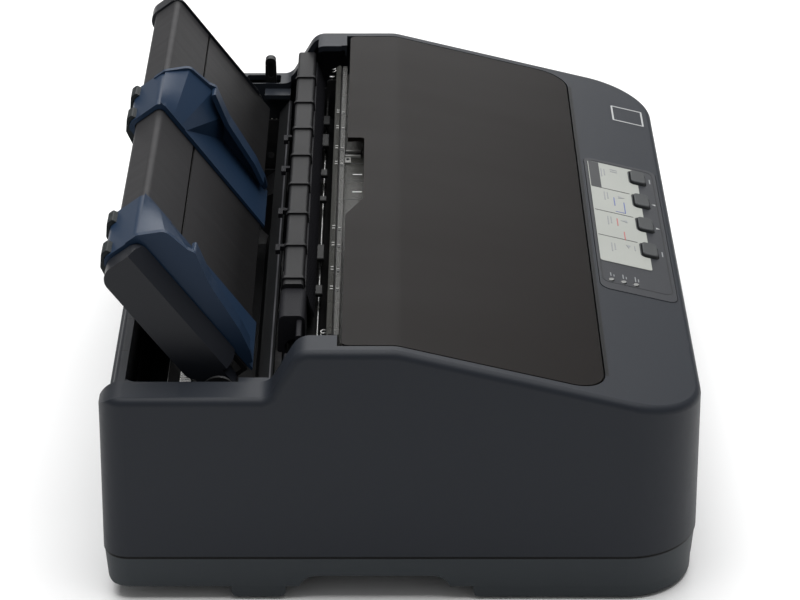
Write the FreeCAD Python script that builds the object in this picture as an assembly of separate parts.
import FreeCAD, Part
import math
import os

# Compact dot matrix printer, modelled piece by piece in millimetres.
# Working axes: X to the right seen from the front, Y to the rear, Z up.
# The working origin is under the centre of the case; save() moves it under the whole machine.

V = FreeCAD.Vector

# Case
CASE_W = 362.0
CASE_D = 275.0
HALF_W = CASE_W / 2
HALF_D = CASE_D / 2
TOP_Z = 131.0
DECK_Z = 107.0
SEAM_Z = 24.0
SEAM_GAP = 0.3
WALL = 3.0
WALL_FLARE = 0.0135
SHOULDER_Y = 53.0
SHOULDER_ANGLE = 60.0
SHOULDER_FOOT_R = 7.0
SHOULDER_TOP_R = 9.0
SLOPE_START_Y = 2.8
SLOPE_TAN = 0.251
TOP_EDGE_R = 3.6
REAR_EDGE_R = 12.0
FRONT_CORNER_R = 34.0
REAR_CORNER_R = 12.0

# Well behind the cover, where the paper goes in and out
WELL_X = 163.0
WELL_REAR_Y = 125.5
REAR_BAR_Y = 131.0
REAR_BAR_TOP_Z = 103.5
REAR_LEDGE_Z = 78.0
WELL_FRONT_Y = 27.0

# Lower case
BASE_Z = 7.5
BASE_INSET = 0.4
HOLLOW_INSET = 2.0
ARCH_Z = 13.5
ARCH_Y0 = -22.6
ARCH_Y1 = 47.8
ARCH_DEPTH = 15.6
REAR_FOOT_Y0 = 53.6
REAR_FOOT_Y1 = 78.6
FRONT_FOOT_Y1 = -33.0
FOOT_INNER_X = 151.0
PAD_R = 8.0
PAD_H = 2.0

# Smoked cover
COVER_X = 172.0
COVER_REAR_Y = 27.0
COVER_FRONT_Y = -91.0
COVER_T = 2.4
COVER_GAP = 0.8
LEDGE_DEPTH = 3.2
LEDGE_T = 3.2
LEDGE_W = 12.0
HINGE_Y = 25.4
HINGE_Z = 128.4
HINGE_PIN_R = 1.3
NOTCH_DEPTH = 8.5
NOTCH_X0 = -43.7
NOTCH_X1 = 43.0
NOTCH_SLANT = 17.7

# Paper path
PLATEN_Y = 44.0
PLATEN_Z = 86.0
PLATEN_R = 12.5
PLATEN_X = 140.0
SHAFT_R = 3.0
FRAME_X = 156.0
FRAME_T = 1.5
RUN_FIT = 0.05
WIRE_Y = 39.6
WIRE_Z = 99.6
WIRE_R = 0.7
KNOB_R = 15.0
KNOB_LENGTH = 15.0
KNOB_X = HALF_W + 2.0

CARRIAGE_Y = 2.0
CARRIAGE_Z = 62.0
CARRIAGE_SHAFT_R = 5.0
RAIL_Y = -24.0

TENSION_Y0 = 44.5
TENSION_Y1 = 55.5
TENSION_TOP = 124.0
TENSION_NEAR_X = -100.0
TENSION_FAR_X = 168.5

TRACTOR_Y = 104.0
TRACTOR_Z = 58.0
SUPPORT_Z = 42.0

# Paper guide: a face leaning back from its foot
GUIDE_LEAN = 36.4
GUIDE_FOOT_Y = 71.0
GUIDE_FOOT_Z = 102.0
GUIDE_LENGTH = 79.5
GUIDE_DEPTH = 17.0
GUIDE_SPLIT = 52.4
GUIDE_X = 152.0
CAP_W = 10.5
CAP_BACK = 21.0
GUIDE_PIVOT_U = 4.0
GUIDE_PIVOT_V = 12.0

# The knob stands out on one side, so the whole machine's centre is off the case's centre
MACHINE_X0 = -HALF_W
MACHINE_X1 = KNOB_X + KNOB_LENGTH
CENTRE_X = (MACHINE_X0 + MACHINE_X1) / 2
CENTRE_Y = 0.0


def box(x0, x1, y0, y1, z0, z1):
    return Part.makeBox(x1 - x0, y1 - y0, z1 - z0, V(x0, y0, z0))


def rod_x(x0, x1, y, z, r):
    return Part.makeCylinder(r, x1 - x0, V(x0, y, z), V(1, 0, 0))


def rod_y(x, y0, y1, z, r):
    return Part.makeCylinder(r, y1 - y0, V(x, y0, z), V(0, 1, 0))


def rod_z(x, y, z0, z1, r):
    return Part.makeCylinder(r, z1 - z0, V(x, y, z0), V(0, 0, 1))


def tube_x(x0, x1, y, z, r_out, r_in):
    return rod_x(x0, x1, y, z, r_out).cut(rod_x(x0 - 1, x1 + 1, y, z, r_in))


def union(shapes):
    return shapes[0].multiFuse(shapes[1:]).removeSplitter() if len(shapes) > 1 else shapes[0]


def outline(points, radii):
    """Closed wire through flat points, each corner rounded by an arc of its own radius."""
    edges = []
    starts = []
    ends = []
    count = len(points)
    for i in range(count):
        corner = points[i]
        before = (points[i - 1] - corner).normalize()
        after = (points[(i + 1) % count] - corner).normalize()
        half = before.getAngle(after) / 2
        radius = radii[i]
        if radius <= 0 or abs(half - math.pi / 2) < 1e-4:
            starts.append(corner)
            ends.append(corner)
            edges.append(None)
            continue
        reach = radius / math.tan(half)
        start = corner + before * reach
        end = corner + after * reach
        middle_way = (before + after).normalize()
        middle = corner + middle_way * (radius / math.sin(half) - radius)
        starts.append(start)
        ends.append(end)
        edges.append(Part.Arc(start, middle, end).toShape())
    wire = []
    for i in range(count):
        if edges[i] is not None:
            wire.append(edges[i])
        after = (i + 1) % count
        if ends[i].distanceToPoint(starts[after]) > 1e-6:
            wire.append(Part.makeLine(ends[i], starts[after]))
    return Part.Wire(wire)


def prism_x(points, radii, x0, x1):
    """Side outline given as (Y, Z) pairs, carried along X."""
    if not isinstance(radii, list):
        radii = [radii] * len(points)
    wire = outline([V(x0, y, z) for y, z in points], radii)
    return Part.Face(wire).extrude(V(x1 - x0, 0, 0))


def prism_z(points, radii, z0, z1):
    """Plan outline given as (X, Y) pairs, carried up Z."""
    if not isinstance(radii, list):
        radii = [radii] * len(points)
    wire = outline([V(x, y, z0) for x, y in points], radii)
    return Part.Face(wire).extrude(V(0, 0, z1 - z0))


def prism_y(points, radii, y0, y1):
    """Front outline given as (X, Z) pairs, carried along Y."""
    if not isinstance(radii, list):
        radii = [radii] * len(points)
    wire = outline([V(x, y0, z) for x, z in points], radii)
    return Part.Face(wire).extrude(V(0, y1 - y0, 0))


def rectangle(a0, a1, b0, b1):
    return [(a0, b0), (a1, b0), (a1, b1), (a0, b1)]


def mirror_x(shape):
    return shape.mirror(V(0, 0, 0), V(1, 0, 0))


def save(name, shape):
    """Write one piece, moved so that the origin lies under the middle of the machine."""
    placed = shape.copy()
    placed.translate(V(-CENTRE_X, -CENTRE_Y, 0))
    solids = placed.Solids
    if len(solids) == 1:
        placed = solids[0]
    placed.exportStep("parts/" + name + ".step")
    box_of = placed.BoundBox
    print(name, len(solids), placed.isValid(), round(placed.Volume / 1000, 2), "cm3",
          [round(value, 1) for value in (box_of.XMin, box_of.XMax, box_of.YMin,
                                         box_of.YMax, box_of.ZMin, box_of.ZMax)])


def top_points(inset):
    """Side outline of the case's top, moved inwards by inset: deck, shoulder, flat and slope."""
    lean = math.radians(SHOULDER_ANGLE)
    shift = inset * (1 - math.cos(lean)) / math.sin(lean)
    half_run = (TOP_Z - DECK_Z) / math.tan(lean) / 2
    slope = math.atan(SLOPE_TAN)
    crest = SLOPE_START_Y + inset * math.tan(slope / 2)
    reach = HALF_D + 10
    front_z = TOP_Z - inset - (crest + reach) * SLOPE_TAN
    return [(reach, 0), (reach, DECK_Z - inset), (SHOULDER_Y + half_run - shift, DECK_Z - inset),
            (SHOULDER_Y - half_run - shift, TOP_Z - inset), (crest, TOP_Z - inset),
            (-reach, front_z), (-reach, 0)]


def under_top(inset, half_width):
    """Everything under the case's top surface, moved inwards by inset."""
    radii = [0, 0, SHOULDER_FOOT_R + inset, SHOULDER_TOP_R - inset, 20, 0, 0]
    return prism_x(top_points(inset), radii, -half_width, half_width)


def plan_wire(z, inset):
    """Plan outline of the case at height z, flared outwards towards the seam."""
    flare = WALL_FLARE * (z - SEAM_Z)
    half_x = HALF_W - flare - inset
    half_y = HALF_D - flare - inset
    front = FRONT_CORNER_R - inset
    rear = REAR_CORNER_R - inset
    corners = [V(-half_x, -half_y, z), V(half_x, -half_y, z), V(half_x, half_y, z), V(-half_x, half_y, z)]
    return outline(corners, [front, front, rear, rear])


def walls(z0, z1, inset):
    return Part.makeLoft([plan_wire(z0, inset), plan_wire(z1, inset)], True, True)


def slope_z(y, inset=0.0):
    """Height of the sloping top at a given Y, on the surface moved inwards by inset."""
    crest = SLOPE_START_Y + inset * math.tan(math.atan(SLOPE_TAN) / 2)
    return TOP_Z - inset - max(0.0, crest - y) * SLOPE_TAN


def top_skin(inset, depth, x0, x1, y0, y1):
    """A slab that follows the top surface, from inset down to depth below it."""
    slab = under_top(inset, HALF_W + 5).cut(under_top(depth, HALF_W + 6))
    return slab.common(box(x0, x1, y0, y1, SEAM_Z, TOP_Z + 20))


# Cover outline in plan, and the same outline grown for its recess
def cover_plan(grow, z0, z1):
    x = COVER_X + grow
    front = COVER_FRONT_Y - grow
    rear = COVER_REAR_Y + grow
    return prism_z([(-x, front), (x, front), (x, rear), (-x, rear)], [15 + grow, 15 + grow, 3, 3], z0, z1)


PANEL_X0 = -72.0
PANEL_X1 = 72.0
PANEL_Y0 = -133.0
PANEL_Y1 = -95.0
PANEL_DEPTH = 1.6

SLOT_X0 = 163.7
SLOT_X1 = 174.4
SLOT_Y0 = 65.6
SLOT_Y1 = 84.3


def upper_case():
    z0 = SEAM_Z + SEAM_GAP
    body = under_top(0, HALF_W + 10).common(walls(z0, TOP_Z + 9, 0))
    rim = []
    for edge in body.Edges:
        low = edge.BoundBox
        middle = edge.valueAt((edge.FirstParameter + edge.LastParameter) / 2)
        on_rim = abs(middle.x) > HALF_W - 12 or abs(middle.y) > HALF_D - 12
        if low.ZMin > 80 and on_rim:
            rim.append(edge)
    body = body.makeFillet(TOP_EDGE_R, rim)
    rounder = prism_x([(-HALF_D - 9, 0), (HALF_D, 0), (HALF_D, DECK_Z), (-60, DECK_Z), (-60, 150),
                       (-HALF_D - 9, 150)], [0, 0, REAR_EDGE_R, 0, 0, 0], -HALF_W - 5, HALF_W + 5)
    shoulder_part = box(-HALF_W - 5, HALF_W + 5, -HALF_D - 5, SHOULDER_Y + 20, 0, 150)
    body = body.common(rounder.fuse(shoulder_part))
    # Hollow inside, with a thicker ledge left round the cover
    hollow = under_top(WALL, HALF_W + 10).common(walls(z0 - 2, TOP_Z + 8, WALL))
    ledge = top_skin(WALL - 0.5, LEDGE_DEPTH + LEDGE_T, -HALF_W + 4, HALF_W - 4, COVER_FRONT_Y - 6,
                     COVER_REAR_Y + 3)
    panel_seat = top_skin(WALL - 0.5, PANEL_DEPTH + 3, PANEL_X0 - 4, PANEL_X1 + 4, -HALF_D + 2,
                          PANEL_Y1 + 3)
    body = body.cut(hollow.cut(ledge).cut(panel_seat))
    # Recess that the cover lies in, and the opening under it, which runs back into the well
    recess = top_skin(-12, LEDGE_DEPTH, -HALF_W, HALF_W, -HALF_D, HALF_D).common(
        cover_plan(COVER_GAP, SEAM_Z, TOP_Z + 20))
    body = body.cut(recess)
    bay_x = COVER_X - LEDGE_W
    bay = prism_z([(-bay_x, COVER_FRONT_Y + LEDGE_W), (bay_x, COVER_FRONT_Y + LEDGE_W),
                   (bay_x, WELL_FRONT_Y + 5), (-bay_x, WELL_FRONT_Y + 5)], [8, 8, 0, 0], 60, TOP_Z + 10)
    well = prism_z([(-WELL_X, WELL_FRONT_Y), (WELL_X - 4, WELL_FRONT_Y), (WELL_X - 4, TENSION_Y0),
                    (TENSION_FAR_X + 1.5, TENSION_Y0), (TENSION_FAR_X + 1.5, 60), (WELL_X, 60),
                    (WELL_X, WELL_REAR_Y), (-WELL_X, WELL_REAR_Y)],
                   [3, 3, 0, 0, 0, 0, 6, 6], 60, TOP_Z + 10)
    body = body.cut(bay.fuse(well))
    # Wall round the well, hung from the deck, with a step that the guide's feet stand beside
    skirt_z = 66.0
    lining = []
    for side in (-1, 1):
        x_in = side * WELL_X
        x_out = side * (WELL_X + 2.0)
        lining.append(box(min(x_in, x_out), max(x_in, x_out), 62, WELL_REAR_Y, skirt_z, DECK_Z - 2))
        step_in = side * (WELL_X - 9.0)
        lining.append(box(min(x_in, step_in), max(x_in, step_in), 60, 74, 101.5, 104.0))
    lining.append(box(-WELL_X - 2, WELL_X + 2, WELL_REAR_Y, WELL_REAR_Y + 2, 90, DECK_Z - 2))
    body = body.fuse(union(lining))
    # Bar behind the well, lower than the side rails and set forward of the rear wall
    gap_x = WELL_X - 1
    body = body.cut(box(-gap_x, gap_x, WELL_REAR_Y - 1, HALF_D + 5, REAR_BAR_TOP_Z, TOP_Z))
    body = body.cut(box(-gap_x, gap_x, REAR_BAR_Y, HALF_D + 5, REAR_LEDGE_Z, TOP_Z))
    y_in = REAR_BAR_Y - WALL
    bar_points = [(WELL_REAR_Y, 90), (WELL_REAR_Y, REAR_BAR_TOP_Z), (REAR_BAR_Y, REAR_BAR_TOP_Z),
                  (REAR_BAR_Y, REAR_LEDGE_Z), (HALF_D - 2, REAR_LEDGE_Z), (HALF_D - 2, REAR_LEDGE_Z - WALL),
                  (y_in, REAR_LEDGE_Z - WALL), (y_in, REAR_BAR_TOP_Z - WALL),
                  (WELL_REAR_Y + 1.5, REAR_BAR_TOP_Z - WALL), (WELL_REAR_Y + 1.5, 90)]
    rear_bar = prism_x(bar_points, [0, 0.8, 2.6, 0, 0, 0, 0, 0, 0, 0], -WELL_X - 1, WELL_X + 1)
    within = prism_x([(0, 0), (HALF_D - 1.5, 0), (HALF_D - 1.5, DECK_Z - 1), (0, DECK_Z - 1)],
                     [0, 0, REAR_EDGE_R - 0.5, 0], -HALF_W, HALF_W)
    for side in (-1, 1):
        x_a = side * gap_x
        x_b = side * (gap_x + 2.5)
        cheek = box(min(x_a, x_b), max(x_a, x_b), WELL_REAR_Y, HALF_D - 2, REAR_LEDGE_Z - WALL, DECK_Z - 1)
        rear_bar = rear_bar.fuse(cheek.common(within))
    body = body.fuse(rear_bar)
    # Hinge pockets for the cover
    for side in (-1, 1):
        x_a = side * (COVER_X - 12.5)
        x_b = side * (COVER_X + COVER_GAP)
        body = body.cut(box(min(x_a, x_b), max(x_a, x_b), HINGE_Y - 3.6, HINGE_Y + 3.6, 120, TOP_Z))
        pin_a = side * (COVER_X - 1)
        pin_b = side * (COVER_X + 3.4)
        body = body.cut(rod_x(min(pin_a, pin_b), max(pin_a, pin_b), HINGE_Y, HINGE_Z,
                              HINGE_PIN_R + RUN_FIT))
    # Slot for the release lever, cut through the right rail
    slot = prism_z(rectangle(SLOT_X0, SLOT_X1, SLOT_Y0, SLOT_Y1), 1.5, 80, DECK_Z + 20)
    body = body.cut(slot)
    # Seat for the control panel, with holes for the buttons and lights
    seat_low = top_skin(-3, PANEL_DEPTH, PANEL_X0, PANEL_X1, PANEL_Y0, PANEL_Y1)
    body = body.cut(seat_low.common(prism_z(rectangle(PANEL_X0, PANEL_X1, PANEL_Y0, PANEL_Y1), 5, 60,
                                            TOP_Z)))
    body = body.cut(prism_z(rectangle(-68, 66, BUTTON_Y - 6.5, BUTTON_Y + 6.5), 2, 60, TOP_Z))
    # Knob shaft, thickness lever and rear sockets
    body = body.cut(rod_x(HALF_W - 8, HALF_W + 3, PLATEN_Y, PLATEN_Z, 7.0))
    body = body.cut(prism_y(rectangle(*PARALLEL_BOX), 2, HALF_D - 8, HALF_D + 3))
    body = body.cut(prism_y(rectangle(*SERIAL_BOX), 2, HALF_D - 8, HALF_D + 3))
    body = body.cut(prism_y(rectangle(*USB_BOX), 1, HALF_D - 8, HALF_D + 3))
    body = body.cut(prism_y(rectangle(*INLET_BOX), 3, HALF_D - 8, HALF_D + 3))
    body = body.cut(box(HALF_W - 8, HALF_W + 3, *SWITCH_BOX))
    for row in range(VENT_ROWS):
        z = VENT_Z + row * VENT_PITCH
        body = body.cut(prism_y(rectangle(VENT_X0, VENT_X1, z, z + 3.0), 1.4, HALF_D - 8, HALF_D + 3))
    # Posts for the screws that come up from below
    posts = []
    for x, y in SCREW_PLACES:
        post = rod_z(x, y, z0 + 8, z0 + 40, 4.5)
        wall_rib = box(min(x, x * 1.068), max(x, x * 1.068), y - 1.2, y + 1.2, z0 + 10, z0 + 40)
        posts.append(post.fuse(wall_rib))
    body = body.fuse(union(posts))
    for x, y in SCREW_PLACES:
        body = body.cut(rod_z(x, y, z0 + 5, z0 + 26, 1.5))
    for y in LENS_YS:
        body = body.cut(rod_z(LENS_X, y, 60, TOP_Z, 2.0))
    return body.removeSplitter()


# Control panel on the slope
BUTTON_XS = [-22.8, 5.0, 31.6, 58.3]
BUTTON_Y = -122.8
BUTTON_WIDE = 13.0
BUTTON_DEEP = 7.6

# Sockets on the rear and the switch on the right: X or Y from, to, then Z from, to
PARALLEL_BOX = (88.0, 154.0, 47.0, 63.0)
SERIAL_BOX = (42.0, 76.0, 48.5, 62.5)
USB_BOX = (18.0, 31.0, 49.0, 61.0)
INLET_BOX = (-148.0, -119.5, 42.0, 66.0)
SWITCH_BOX = (-84.0, -68.0, 40.0, 63.0)
VENT_ROWS = 5
VENT_Z = 44.0
VENT_PITCH = 7.0
VENT_X0 = -92.0
VENT_X1 = -6.0
SCREW_PLACES = [(-168.0, -92.0), (168.0, -98.0), (-168.0, 116.0), (168.0, 112.0)]

# Gear train on the right side plate
MODULE = 0.8
PLATEN_TEETH = 36
IDLER_TEETH = 48
TRACTOR_TEETH = 36
PINION_TEETH = 12
GEAR_X0 = 158.3
GEAR_X1 = 162.0


def pitch_r(teeth):
    return MODULE * teeth / 2


def idler_place():
    """Where the idler touches both the platen gear and the tractor gear."""
    run = TRACTOR_Y - PLATEN_Y
    drop = TRACTOR_Z - PLATEN_Z
    span = math.hypot(run, drop)
    near = pitch_r(PLATEN_TEETH) + pitch_r(IDLER_TEETH)
    sag = math.sqrt(near * near - span * span / 4)
    return ((PLATEN_Y + TRACTOR_Y) / 2 + drop / span * sag, (PLATEN_Z + TRACTOR_Z) / 2 - run / span * sag)


IDLER_Y, IDLER_Z = idler_place()
PINION_ANGLE = math.radians(-110)
PINION_REACH = pitch_r(IDLER_TEETH) + pitch_r(PINION_TEETH)
PINION_Y = IDLER_Y + PINION_REACH * math.cos(PINION_ANGLE)
PINION_Z = IDLER_Z + PINION_REACH * math.sin(PINION_ANGLE)


def gear(x0, x1, y, z, teeth, first_angle, bore_r):
    """Spur gear on an X axis, with one tooth centred on first_angle."""
    r = pitch_r(teeth)
    tip = r + 0.65 * MODULE
    root = r - 1.15 * MODULE
    step = 2 * math.pi / teeth
    points = []
    for i in range(teeth):
        middle = first_angle + i * step
        for turn, radius in ((-0.36, root), (-0.13, tip), (0.13, tip), (0.36, root)):
            angle = middle + turn * step
            points.append((y + radius * math.cos(angle), z + radius * math.sin(angle)))
    wheel = prism_x(points, 0, x0, x1)
    return wheel.cut(rod_x(x0 - 1, x1 + 1, y, z, bore_r))


def mesh_angle(y_a, z_a, y_b, z_b, teeth_b, first_a, teeth_a):
    """Angle of a tooth of gear B that puts a gap of B where gear A's tooth points at B."""
    toward_b = math.atan2(z_b - z_a, y_b - y_a)
    step_a = 2 * math.pi / teeth_a
    step_b = 2 * math.pi / teeth_b
    off = (first_a - toward_b) / step_a
    off = off - math.floor(off)
    return toward_b + math.pi + (0.5 - off) * step_b


def lower_case():
    top = SEAM_Z - SEAM_GAP
    half_x = HALF_W - BASE_INSET
    half_y = HALF_D - BASE_INSET
    front = FRONT_CORNER_R - BASE_INSET
    rear = REAR_CORNER_R - BASE_INSET
    radii = [front, front, rear, rear]
    inner = HOLLOW_INSET - BASE_INSET

    def ring(z, inset):
        corners = [V(-half_x + inset, -half_y + inset, z), V(half_x - inset, -half_y + inset, z),
                   V(half_x - inset, half_y - inset, z), V(-half_x + inset, half_y - inset, z)]
        return outline(corners, [max(r - inset, 2) for r in radii])

    body = Part.makeLoft([ring(BASE_Z, 1.2), ring(top, 0)], True, True)
    side = prism_x([(-half_y - 1, top + 1), (-half_y + 2.0, BASE_Z), (half_y - 1.3, BASE_Z),
                    (half_y + 0.4, top + 1)], [0, 6, 3.4, 0], -half_x - 1, half_x + 1)
    body = body.common(side)
    hollow = Part.makeLoft([ring(BASE_Z + WALL, 6.0 + inner), ring(top + 1, WALL + inner)], True, True)
    arch_cover = box(-half_x + 1, -half_x + ARCH_DEPTH + WALL, ARCH_Y0 - WALL, ARCH_Y1 + WALL,
                     BASE_Z, ARCH_Z + WALL)
    hollow = hollow.cut(arch_cover.fuse(mirror_x(arch_cover)))
    body = body.cut(hollow)
    lip = Part.makeLoft([ring(top - 2, 1.7 + inner), ring(top + 3.5, 1.7 + inner)], True, True).cut(
        Part.makeLoft([ring(top - 3, 3.2 + inner), ring(top + 4, 3.2 + inner)], True, True))
    body = body.fuse(lip)
    foot_z = PAD_H - 1.2
    skirt = Part.makeLoft([ring(foot_z, 2.6), ring(foot_z + 1.4, 1.4), ring(BASE_Z + 1, 1.3)], True, True)
    feet = []
    for x0, x1 in ((-HALF_W, -FOOT_INNER_X), (FOOT_INNER_X, HALF_W)):
        feet.append(prism_x(rectangle(REAR_FOOT_Y0, REAR_FOOT_Y1, foot_z, BASE_Z + 1), [4, 4, 0, 0], x0, x1))
        feet.append(prism_x(rectangle(-HALF_D, FRONT_FOOT_Y1, foot_z, BASE_Z + 1), [0, 4, 0, 0], x0, x1))
    body = body.fuse(skirt.common(union(feet)))
    for x, y in PAD_PLACES:
        body = body.cut(rod_z(x, y, 0, PAD_H, PAD_R + 0.3))
    arch = prism_x([(ARCH_Y0, -1), (ARCH_Y1, -1), (ARCH_Y1, ARCH_Z), (ARCH_Y0, ARCH_Z)], [0, 0, 9, 9],
                   -half_x - 1, -half_x + ARCH_DEPTH)
    body = body.cut(arch.fuse(mirror_x(arch)))
    inner = []
    for x, y in SCREW_PLACES:
        inner.append(rod_z(x, y, BASE_Z + 1, SEAM_Z + 7.5, 4.5))
    for x, y in STANDOFFS:
        inner.append(rod_z(x, y, BASE_Z + 1, BASE_PLATE_Z, 4.0))
    for x, y in BOARD_POSTS + POWER_POSTS:
        inner.append(rod_z(x, y, BASE_Z + 1, BOARD_Z, 3.0))
    body = body.fuse(union(inner))
    for x, y in SCREW_PLACES:
        body = body.cut(rod_z(x, y, 0, BASE_Z + 4, 3.6))
        body = body.cut(rod_z(x, y, 0, SEAM_Z + 9, 1.8))
    slots = []
    for i in range(9):
        x = -60 + i * 15
        slots.append(prism_z(rectangle(x - 1.6, x + 1.6, 60, 100), 1.5, BASE_Z - 1, BASE_Z + WALL + 1))
    return body.cut(union(slots)).removeSplitter()


PAD_PLACES = [(-164.0, 66.0), (164.0, 66.0), (-164.0, -94.0), (164.0, -94.0)]
BASE_PLATE_Z = 26.0
BASE_PLATE_T = 1.2
BOARD_Z = 17.0
STANDOFFS = [(-140.0, -24.0), (140.0, -24.0), (-140.0, 108.0), (140.0, 108.0)]
BOARD_POSTS = [(-74.0, -112.0), (50.0, -112.0), (-74.0, -48.0), (50.0, -48.0)]
POWER_POSTS = [(-140.0, -112.0), (-96.0, -112.0), (-140.0, -48.0), (-96.0, -48.0)]


def rubber_feet():
    pads = []
    for x, y in PAD_PLACES:
        pad = rod_z(x, y, 0, PAD_H, PAD_R)
        pads.append(pad.makeFillet(0.6,
                                   [pad.Edges[2] if pad.Edges[2].BoundBox.ZMax < 0.1 else pad.Edges[0]]))
    return Part.makeCompound(pads)


def case_screws():
    """Screws that hold the two halves of the case together, driven from below."""
    screws = []
    for x, y in SCREW_PLACES:
        z_seat = BASE_Z + 4
        head = rod_z(x, y, z_seat - 2.2, z_seat, 3.2)
        cross = box(x - 1.8, x + 1.8, y - 0.4, y + 0.4, z_seat - 2.3, z_seat - 1.0)
        cross = cross.fuse(box(x - 0.4, x + 0.4, y - 1.8, y + 1.8, z_seat - 2.3, z_seat - 1.0))
        screws.append(head.cut(cross).fuse(rod_z(x, y, z_seat, SEAM_Z + 20, 1.45)))
    return Part.makeCompound(screws)


def side_plate(side):
    """Steel side plate with the holes that carry the shafts; side is -1 for left, 1 for right."""
    x0 = FRAME_X if side > 0 else -FRAME_X - FRAME_T
    x1 = x0 + FRAME_T
    low = BASE_PLATE_Z + BASE_PLATE_T
    points = [(-34, low), (118, low), (118, 70), (98, 78), (92, 88), (57, 88), (57, PLATE_TOP),
              (40, PLATE_TOP),
              (40, 112), (30, 112), (20, 98), (-8, 80), (-34, 72)]
    plate = prism_x(points, [0, 0, 5, 5, 0, 4, 3, 1, 2, 3, 5, 8, 5], x0, x1)
    ear = rod_x(x0, x1, GUIDE_PIVOT_Y, GUIDE_PIVOT_Z, 8.0)
    ear = ear.fuse(box(x0, x1, GUIDE_PIVOT_Y - 8, GUIDE_PIVOT_Y + 8, 80, GUIDE_PIVOT_Z))
    plate = plate.fuse(ear)
    holes = [(PLATEN_Y, PLATEN_Z, PLATEN_SHAFT_R + RUN_FIT),
             (TRACTOR_Y, TRACTOR_Z, TRACTOR_END_R + RUN_FIT),
             (CARRIAGE_Y, CARRIAGE_Z, CARRIAGE_SHAFT_R), (SUPPORT_Y, SUPPORT_Z, SHAFT_R),
             (GUIDE_PIVOT_Y, GUIDE_PIVOT_Z, GUIDE_PIN_R + RUN_FIT), (LEVER_Y, LEVER_Z, 2.0),
             (WIRE_Y, WIRE_Z, WIRE_R)]
    for y, z, r in holes:
        plate = plate.cut(rod_x(x0 - 1, x1 + 1, y, z, r))
    if side > 0:
        plate = plate.cut(rod_x(x0 - 1, x1 + 1, PINION_Y, PINION_Z, 5.8))
        plate = plate.cut(rod_x(x0 - 1, x1 + 1, IDLER_Y, IDLER_Z, 2.0))
    window = prism_x(rectangle(-22, -8, 36, 54), 2, x0 - 1, x1 + 1)
    return plate.cut(window)


PLATE_TOP = 107.0
PLATEN_SHAFT_R = 4.0
TRACTOR_END_R = 3.5
SUPPORT_Y = 88.0
GUIDE_PIN_R = 3.0
LEVER_Y = 71.0
LEVER_Z = 36.5
LEAN = math.radians(GUIDE_LEAN)


def guide_point(u, v):
    """A point on the paper guide: u up along its face, v behind the face."""
    y = GUIDE_FOOT_Y + u * math.sin(LEAN) + v * math.cos(LEAN)
    z = GUIDE_FOOT_Z + u * math.cos(LEAN) - v * math.sin(LEAN)
    return (y, z)


GUIDE_PIVOT_Y, GUIDE_PIVOT_Z = guide_point(GUIDE_PIVOT_U, GUIDE_PIVOT_V)


def base_plate():
    """Steel floor of the mechanism, with turned-up front edge and lightening holes."""
    z1 = BASE_PLATE_Z + BASE_PLATE_T
    plate = box(-FRAME_X - FRAME_T, FRAME_X + FRAME_T, -34, 118, BASE_PLATE_Z, z1)
    for x, y in STANDOFFS:
        plate = plate.cut(rod_z(x, y, BASE_PLATE_Z - 1, z1 + 1, 1.6))
    for i in range(5):
        x = -100 + i * 40
        plate = plate.cut(prism_z(rectangle(x - 12, x + 12, 4, 40), 5, BASE_PLATE_Z - 1, z1 + 1))
    return plate


def idler_stub():
    """Fixed pins on the right plate for the idler gear and the release lever."""
    idler = rod_x(FRAME_X, GEAR_X1 + 0.6, IDLER_Y, IDLER_Z, 2.0)
    lever = rod_x(FRAME_X, LEVER_X1 + 0.8, LEVER_Y, LEVER_Z, 2.0)
    return Part.makeCompound([idler, lever])


LEVER_X0 = 166.2
LEVER_X1 = 171.0


def carriage_shaft():
    return rod_x(-FRAME_X - 4, FRAME_X + FRAME_T, CARRIAGE_Y, CARRIAGE_Z, CARRIAGE_SHAFT_R - 0.01)


def tractor_support_shaft():
    return rod_x(-FRAME_X - 4, FRAME_X + FRAME_T, SUPPORT_Y, SUPPORT_Z, SHAFT_R - 0.01)


def carriage_rail():
    """Steel angle that steadies the front of the carriage."""
    low = BASE_PLATE_Z + BASE_PLATE_T
    web = box(-FRAME_X, FRAME_X, RAIL_Y, RAIL_Y + 1.5, low, RAIL_TOP)
    flange = box(-FRAME_X, FRAME_X, RAIL_Y, RAIL_Y + 9, RAIL_TOP - 1.5, RAIL_TOP)
    rail = web.fuse(flange)
    for x in (MOTOR_X, -MOTOR_X):
        rail = rail.cut(rod_y(x, RAIL_Y - 1, RAIL_Y + 2.5, BELT_Z, 3.4))
    return rail.removeSplitter()


RAIL_TOP = 60.0
MOTOR_X = -136.0
BELT_Z = 44.0
PULLEY_R = 6.0
BELT_Y0 = -14.0
BELT_Y1 = -9.0


def carriage_motor():
    """Stepping motor in front of the rail, its shaft through to the belt."""
    can = rod_y(MOTOR_X, RAIL_Y - 26, RAIL_Y - 0.3, BELT_Z, 15.5)
    can = can.makeFillet(1.0, [e for e in can.Edges if e.BoundBox.YMax < RAIL_Y - 20])
    collar = rod_y(MOTOR_X, RAIL_Y - 0.3, RAIL_Y + 2.2, BELT_Z, 3.2)
    return can.fuse(collar)


def motor_pulley():
    shaft = rod_y(MOTOR_X, RAIL_Y + 2.5, BELT_Y1 + 2, BELT_Z, 1.5)
    return shaft.fuse(belt_wheel(MOTOR_X)).removeSplitter()


def belt_wheel(x):
    """Toothed wheel for the belt, with a flange at each end."""
    wheel = rod_y(x, BELT_Y0 - 0.6, BELT_Y1 + 0.6, BELT_Z, PULLEY_R)
    for y in (BELT_Y0 - 1.6, BELT_Y1 + 0.6):
        wheel = wheel.fuse(rod_y(x, y, y + 1.0, BELT_Z, PULLEY_R + 2.4))
    return wheel


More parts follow.
